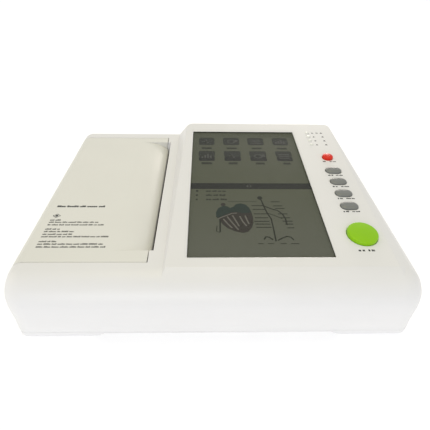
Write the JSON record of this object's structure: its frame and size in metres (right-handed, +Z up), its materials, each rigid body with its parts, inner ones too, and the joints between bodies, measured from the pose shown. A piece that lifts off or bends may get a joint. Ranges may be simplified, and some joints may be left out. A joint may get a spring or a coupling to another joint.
{
  "type": "ecg machine",
  "caption": "Desktop electrocardiograph with a sloping display panel, side key column and a clamshell thermal chart printer.",
  "frame": {"origin": "middle of the footprint, on the surface that the rubber feet stand on", "axes": "+X to the operator's right along the width, +Y from the front to the back, +Z up"},
  "size_m": [0.384, 0.295, 0.1052],
  "materials": {
    "case_plastic": "satin off-white ABS",
    "rubber_black": "matt",
    "steel": "plated",
    "sheet_steel": "zinc plated sheet",
    "battery_wrap": "shrink wrap",
    "tray_plastic": "textured",
    "motor_metal": "painted",
    "black_plastic": "fine texture",
    "pcb_green": "solder mask",
    "chip_black": "moulded",
    "psu_mixed": "taped windings",
    "contact_brass": "plated",
    "port_shell": "nickel",
    "lens_glass": "clear, slightly tinted",
    "lcd_panel": "display face",
    "light_pipe": "frosted clear",
    "cable_amber": "film",
    "bush_bronze": "sintered",
    "gear_nylon": "natural",
    "head_ceramic": "glazed",
    "heatsink_alu": "extruded",
    "chart_paper": "smooth paper",
    "core_grey": "moulded",
    "key_red": "satin",
    "key_grey": "satin",
    "key_green": "satin"
  },
  "bodies": {
    "root": {"lower_housing": "case_plastic", "upper_housing": "case_plastic", "rubber_feet": "rubber_black", "case_screws": "steel", "battery_cover": "case_plastic", "battery_cover_screws": "steel", "battery_pack": "battery_wrap", "paper_tray": "tray_plastic", "printer_chassis": "sheet_steel", "stepper_motor": "motor_metal", "tear_bar": "steel", "paper_sensor": "black_plastic", "head_springs": "steel", "hinge_pins": "steel", "main_board": "pcb_green", "main_board_components": "chip_black", "front_end_shield": "sheet_steel", "input_board": "pcb_green", "patient_port": "port_shell", "port_jackscrews": "steel", "psu_board": "pcb_green", "psu_components": "psu_mixed", "mains_inlet": "black_plastic", "inlet_contacts": "contact_brass", "mains_switch_body": "black_plastic", "fuse_caps": "black_plastic", "equipotential_post": "steel", "usb_ports": "port_shell", "lan_port": "port_shell", "rear_panel": "tray_plastic", "port_panel": "tray_plastic", "display_lens": "lens_glass", "lcd_module": "lcd_panel", "lcd_bracket": "sheet_steel", "panel_screws": "steel", "keypad_board": "pcb_green", "key_switches": "black_plastic", "light_pipes": "light_pipe", "speaker": "black_plastic", "board_screws": "steel", "display_cable": "cable_amber"},
    "door": {"printer_door": "case_plastic", "platen_brackets": "sheet_steel", "platen_bushes": "bush_bronze"},
    "platen": {"platen_shaft": "steel", "platen_rubber": "rubber_black", "platen_gear": "gear_nylon"},
    "head": {"print_head": "head_ceramic", "head_heatsink": "heatsink_alu"},
    "idler": {"idler_gear": "gear_nylon"},
    "pinion": {"motor_pinion": "contact_brass"},
    "paper": {"paper_roll": "chart_paper", "paper_core": "core_grey"},
    "power_key": {"power_button": "key_red"},
    "key_1": {"function_key_1": "key_grey"},
    "key_2": {"function_key_2": "key_grey"},
    "key_3": {"function_key_3": "key_grey"},
    "key_4": {"function_key_4": "key_grey"},
    "start_key": {"start_button": "key_green"},
    "rocker": {"mains_rocker": "black_plastic"}
  },
  "joints": [
    {"name": "door_hinge", "type": "hinge", "parent": "root", "child": "door", "pos_m": [-0.1715, 0, 0.0725], "axis": [0, -1, 0], "range_deg": [0, 85]},
    {"name": "platen_spin", "type": "hinge", "parent": "door", "child": "platen", "pos_m": [-0.07, 0, 0.0615], "axis": [0, 1, 0], "continuous": true},
    {"name": "idler_spin", "type": "hinge", "parent": "root", "child": "idler", "pos_m": [-0.06687, 0, 0.04377], "axis": [0, 1, 0], "continuous": true},
    {"name": "motor_spin", "type": "hinge", "parent": "root", "child": "pinion", "pos_m": [-0.05287, 0, 0.03397], "axis": [0, 1, 0], "continuous": true},
    {"name": "paper_spin", "type": "hinge", "parent": "root", "child": "paper", "pos_m": [-0.125, 0, 0.046], "axis": [0, 1, 0], "continuous": true},
    {"name": "head_pivot", "type": "hinge", "parent": "root", "child": "head", "pos_m": [-0.0535, 0, 0.054], "axis": [0, 1, 0], "range_deg": [0, 2], "stiffness_Nm_per_rad": 5, "springref_deg": -2.86},
    {"name": "power_press", "type": "slide", "parent": "root", "child": "power_key", "axis": [0, 0.0649, -0.9979], "range_m": [0, 0.0012], "stiffness_N_per_m": 400, "springref_m": -0.001},
    {"name": "key_1_press", "type": "slide", "parent": "root", "child": "key_1", "axis": [0, 0.0649, -0.9979], "range_m": [0, 0.0012], "stiffness_N_per_m": 400, "springref_m": -0.001},
    {"name": "key_2_press", "type": "slide", "parent": "root", "child": "key_2", "axis": [0, 0.0649, -0.9979], "range_m": [0, 0.0012], "stiffness_N_per_m": 400, "springref_m": -0.001},
    {"name": "key_3_press", "type": "slide", "parent": "root", "child": "key_3", "axis": [0, 0.0649, -0.9979], "range_m": [0, 0.0012], "stiffness_N_per_m": 400, "springref_m": -0.001},
    {"name": "key_4_press", "type": "slide", "parent": "root", "child": "key_4", "axis": [0, 0.0649, -0.9979], "range_m": [0, 0.0012], "stiffness_N_per_m": 400, "springref_m": -0.001},
    {"name": "start_press", "type": "slide", "parent": "root", "child": "start_key", "axis": [0, 0.0649, -0.9979], "range_m": [0, 0.0012], "stiffness_N_per_m": 400, "springref_m": -0.001},
    {"name": "rocker_tilt", "type": "hinge", "parent": "root", "child": "rocker", "pos_m": [0.105, 0.14, 0.042], "axis": [-1, 0, 0], "range_deg": [0, 12]}
  ],
  "couplings": [
    {"joint": "idler_spin", "follows": "platen_spin", "ratio": -0.53846},
    {"joint": "motor_spin", "follows": "platen_spin", "ratio": 1.1667}
  ]
}
